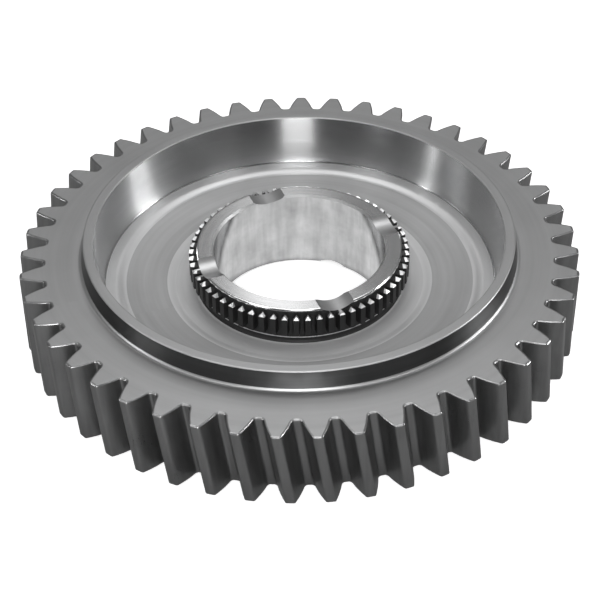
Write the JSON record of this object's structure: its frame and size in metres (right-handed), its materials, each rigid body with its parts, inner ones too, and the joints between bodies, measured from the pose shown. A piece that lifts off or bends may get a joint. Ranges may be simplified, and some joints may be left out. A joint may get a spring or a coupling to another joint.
{
  "type": "transmission gear",
  "caption": "Helical steel transmission gear with a dished web, a raised ring, a plain bore, a ring of pointed clutch teeth and oil notches in its thrust faces.",
  "frame": {"origin": "centre of the bore on the plane of the lower thrust face, which the gear stands on", "axes": "+Z is the bore's axis and points from the lower thrust face to the side with the clutch teeth; +X and +Y each run through the middle of an upper oil notch"},
  "size_m": [0.2468, 0.2468, 0.0467],
  "materials": {
    "steel": "machined, with ground thrust faces and bore"
  },
  "bodies": {
    "root": {"gear": "steel"}
  },
  "joints": []
}
